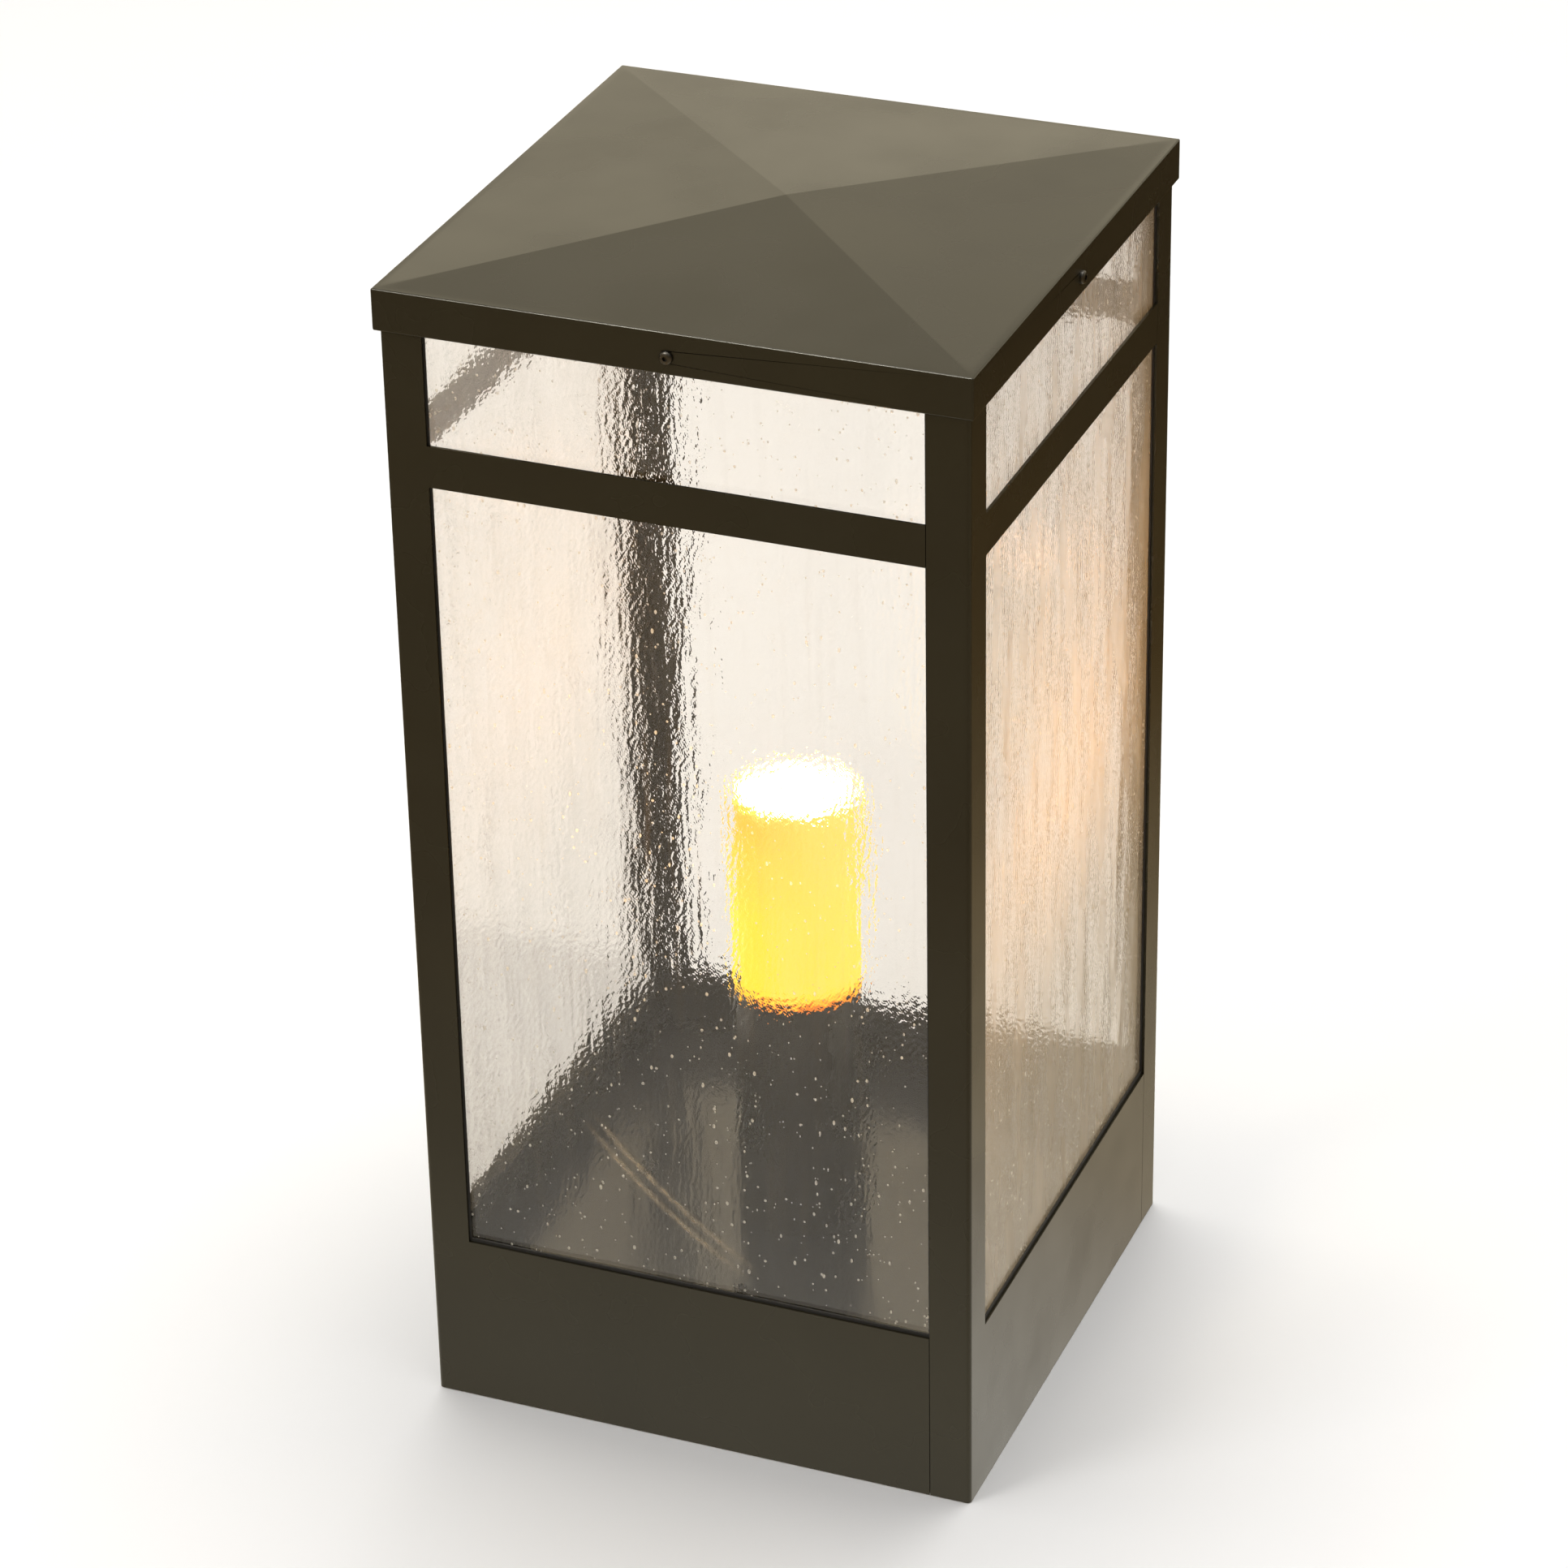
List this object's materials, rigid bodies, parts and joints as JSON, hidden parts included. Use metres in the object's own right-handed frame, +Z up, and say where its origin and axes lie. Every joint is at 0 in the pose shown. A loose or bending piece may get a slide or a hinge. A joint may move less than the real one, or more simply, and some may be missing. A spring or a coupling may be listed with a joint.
{
  "type": "bollard light",
  "caption": "Square metal lantern bollard with seeded-glass sides, a glowing candle-style lamp on a pedestal and a shallow pyramid cap that lifts off for relamping.",
  "frame": {"origin": "centre of the underside of the base", "axes": "+Z up, front face towards -Y, right-hand face towards +X"},
  "size_m": [0.3146, 0.3146, 0.6555],
  "materials": {
    "housing": "satin bronze",
    "glass": "clear, seeded",
    "gasket": "matt",
    "screw": "darkened",
    "brass": "plain",
    "holder": "unglazed",
    "block": "moulded",
    "candle": "translucent wax look",
    "globe": "frosted",
    "collar": "moulded",
    "board": "coated board",
    "lead_live": "insulation",
    "lead_neutral": "insulation",
    "lead_earth": "insulation"
  },
  "bodies": {
    "housing": {"base_plate": "housing", "deck": "housing", "corner_cleats": "housing", "side_panel_front": "housing", "side_panel_right": "housing", "side_panel_back": "housing", "side_panel_left": "housing", "glass_guide_front_right": "housing", "glass_guide_right_back": "housing", "glass_guide_back_left": "housing", "glass_guide_left_front": "housing", "sill_channel_front": "housing", "sill_channel_right": "housing", "sill_channel_back": "housing", "sill_channel_left": "housing", "pedestal": "housing", "pedestal_lid": "housing", "glass_front": "glass", "glass_right": "glass", "glass_back": "glass", "glass_left": "glass", "glazing_gasket_front": "gasket", "glazing_gasket_right": "gasket", "glazing_gasket_back": "gasket", "glazing_gasket_left": "gasket", "setting_blocks": "gasket", "deck_bushing": "gasket", "deck_screws": "screw", "pedestal_screws": "screw", "deck_standoffs": "screw", "earth_stud": "screw", "earth_nut": "screw", "earth_terminal": "screw", "terminal_screws": "screw", "threaded_nipple": "brass", "nipple_nuts": "brass", "holder_shell": "brass", "centre_contact": "brass", "lamp_holder": "holder", "wire_bushing": "holder", "terminal_block": "block", "lead_live": "lead_live", "lead_neutral": "lead_neutral", "lead_earth": "lead_earth"},
    "cap": {"cap": "housing", "cap_seal": "gasket", "cap_screws": "screw", "cap_nuts": "screw"},
    "candle": {"candle_sleeve": "candle"},
    "lamp": {"lamp_cap": "brass", "lamp_tip": "block", "lamp_collar": "collar", "led_board": "board", "lamp_globe": "globe"}
  },
  "joints": [
    {"name": "cap_lift", "type": "slide", "parent": "housing", "child": "cap", "axis": [0, 0, 1], "range_m": [0, 0.15]},
    {"name": "candle_lift", "type": "slide", "parent": "housing", "child": "candle", "axis": [0, 0, 1], "range_m": [0, 0.16]},
    {"name": "lamp_withdraw", "type": "slide", "parent": "housing", "child": "lamp", "axis": [0, 0, 1], "range_m": [0, 0.12]}
  ]
}
